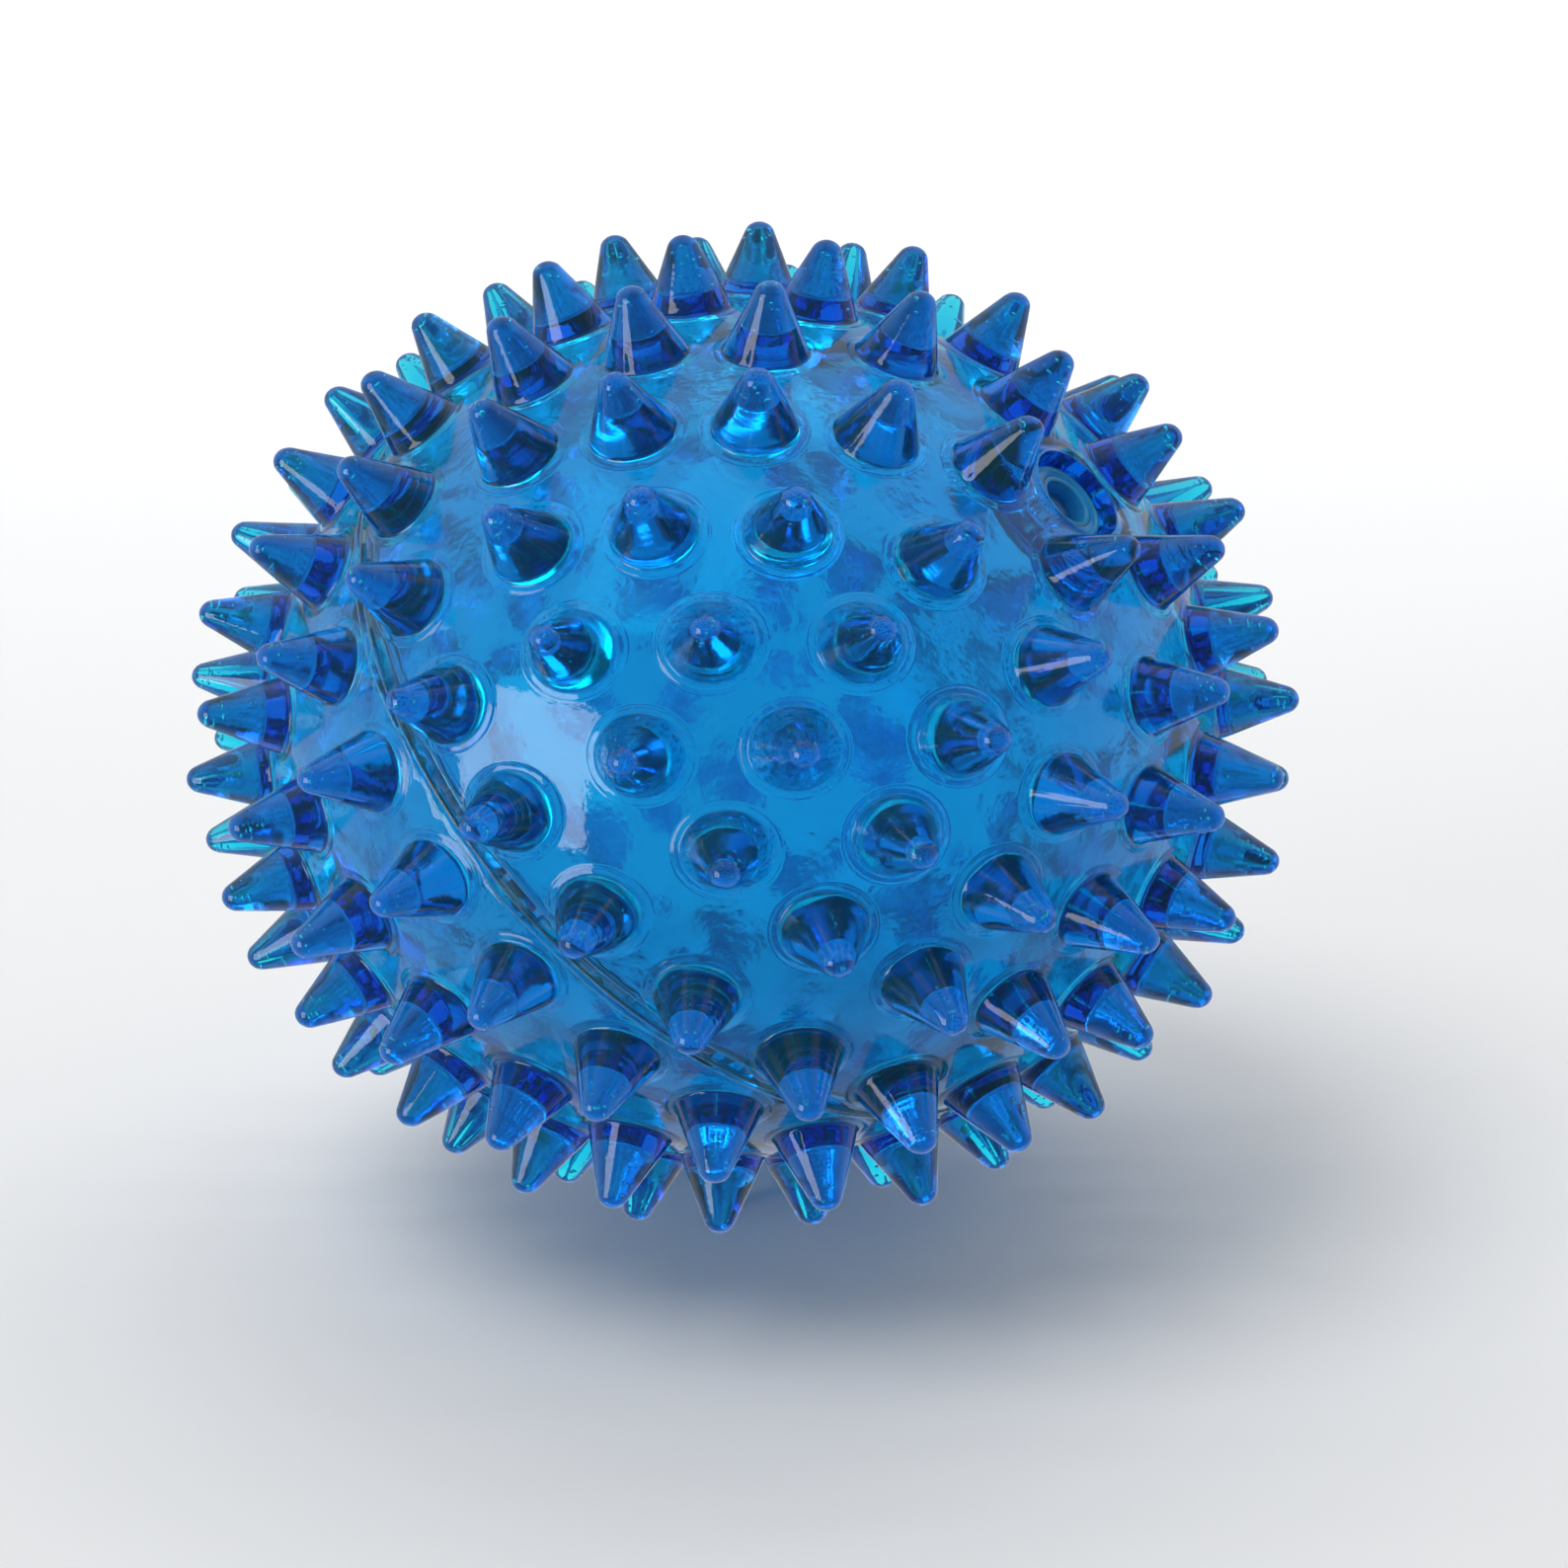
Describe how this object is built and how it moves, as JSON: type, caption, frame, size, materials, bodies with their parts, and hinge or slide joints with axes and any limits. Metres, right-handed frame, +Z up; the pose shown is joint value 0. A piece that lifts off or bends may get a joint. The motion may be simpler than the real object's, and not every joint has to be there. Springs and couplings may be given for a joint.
{
  "type": "spiky massage ball",
  "caption": "Hollow spiky massage ball of soft clear blue plastic: two moulded half shells glued at a seam, with a recessed air valve and its stopper.",
  "frame": {"origin": "the floor under the middle of the ball's box, which is where it stands on its lowest spikes", "axes": "+Z up as the ball lies, along its slightly sagged, shortest extent; the mould axis leans 50.4 degrees from +Z with the valve at its upper end, towards +X and -Y"},
  "size_m": [0.0894, 0.09, 0.0803],
  "materials": {
    "port_half_pvc": "glossy clear blue soft plastic",
    "plain_half_pvc": "glossy clear blue soft plastic, a little paler in the spikes",
    "seam_adhesive": "clear, uneven squeezed-out adhesive",
    "valve_seat_pvc": "satin clear blue soft plastic",
    "valve_plug_pvc": "satin deep blue soft plastic"
  },
  "bodies": {
    "ball": {"port_half_shell": "port_half_pvc", "plain_half_shell": "plain_half_pvc", "seam_bead": "seam_adhesive", "valve_seat": "valve_seat_pvc"},
    "plug": {"valve_plug": "valve_plug_pvc"}
  },
  "joints": [
    {"name": "plug_pull", "type": "slide", "parent": "ball", "child": "plug", "axis": [0.6882, -0.4119, 0.5972], "range_m": [0, 0.008]}
  ]
}
